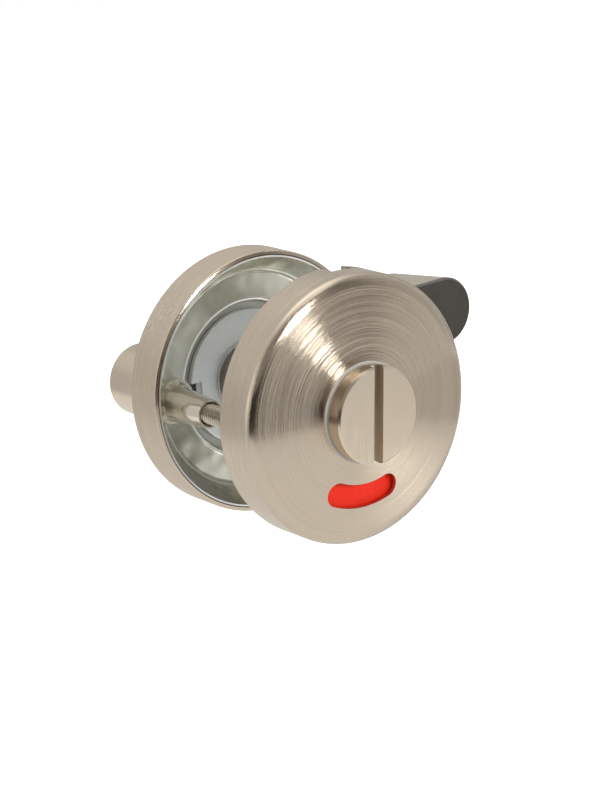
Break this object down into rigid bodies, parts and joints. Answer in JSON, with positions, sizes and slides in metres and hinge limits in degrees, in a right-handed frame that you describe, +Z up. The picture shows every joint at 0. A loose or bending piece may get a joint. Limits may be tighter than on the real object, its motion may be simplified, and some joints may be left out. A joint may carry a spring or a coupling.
{
  "type": "bathroom thumb turn lock",
  "caption": "Round stainless privacy lock set: long bar thumb turn on one rose, coin-slot release knob with red indicator window on the other, joined through the door by posts and screws.",
  "frame": {"origin": "on the spindle's axis, in the plane of the outer rose's door face", "axes": "+Y along the spindle from the release knob into the room to the thumb turn, +Z up, +X along the bar turn's long end in the locked pose"},
  "size_m": [0.0912, 0.0615, 0.053],
  "materials": {
    "satin_steel": "satin brushed",
    "zinc_casting": "bright cast",
    "zinc_plate": "zinc plated",
    "screw_steel": "nickel plated",
    "nylon": "matt",
    "indicator_plastic": "red field for locked, green for free"
  },
  "bodies": {
    "roses": {"outer_cover": "satin_steel", "outer_base": "zinc_casting", "knob_bush": "nylon", "inner_cover": "satin_steel", "inner_base": "zinc_casting", "turn_bush": "nylon", "fixing_screws": "screw_steel"},
    "turn": {"thumb_turn": "satin_steel", "grub_screw": "screw_steel", "spindle": "zinc_plate", "turn_washer": "zinc_plate", "turn_retaining_disc": "zinc_plate", "release_knob": "satin_steel", "indicator_disc": "indicator_plastic", "knob_washer": "zinc_plate", "knob_retaining_disc": "zinc_plate"}
  },
  "joints": [
    {"name": "turn_hinge", "type": "hinge", "parent": "roses", "child": "turn", "pos_m": [0, 0, 0], "axis": [0, -1, 0], "range_deg": [0, 90]}
  ]
}
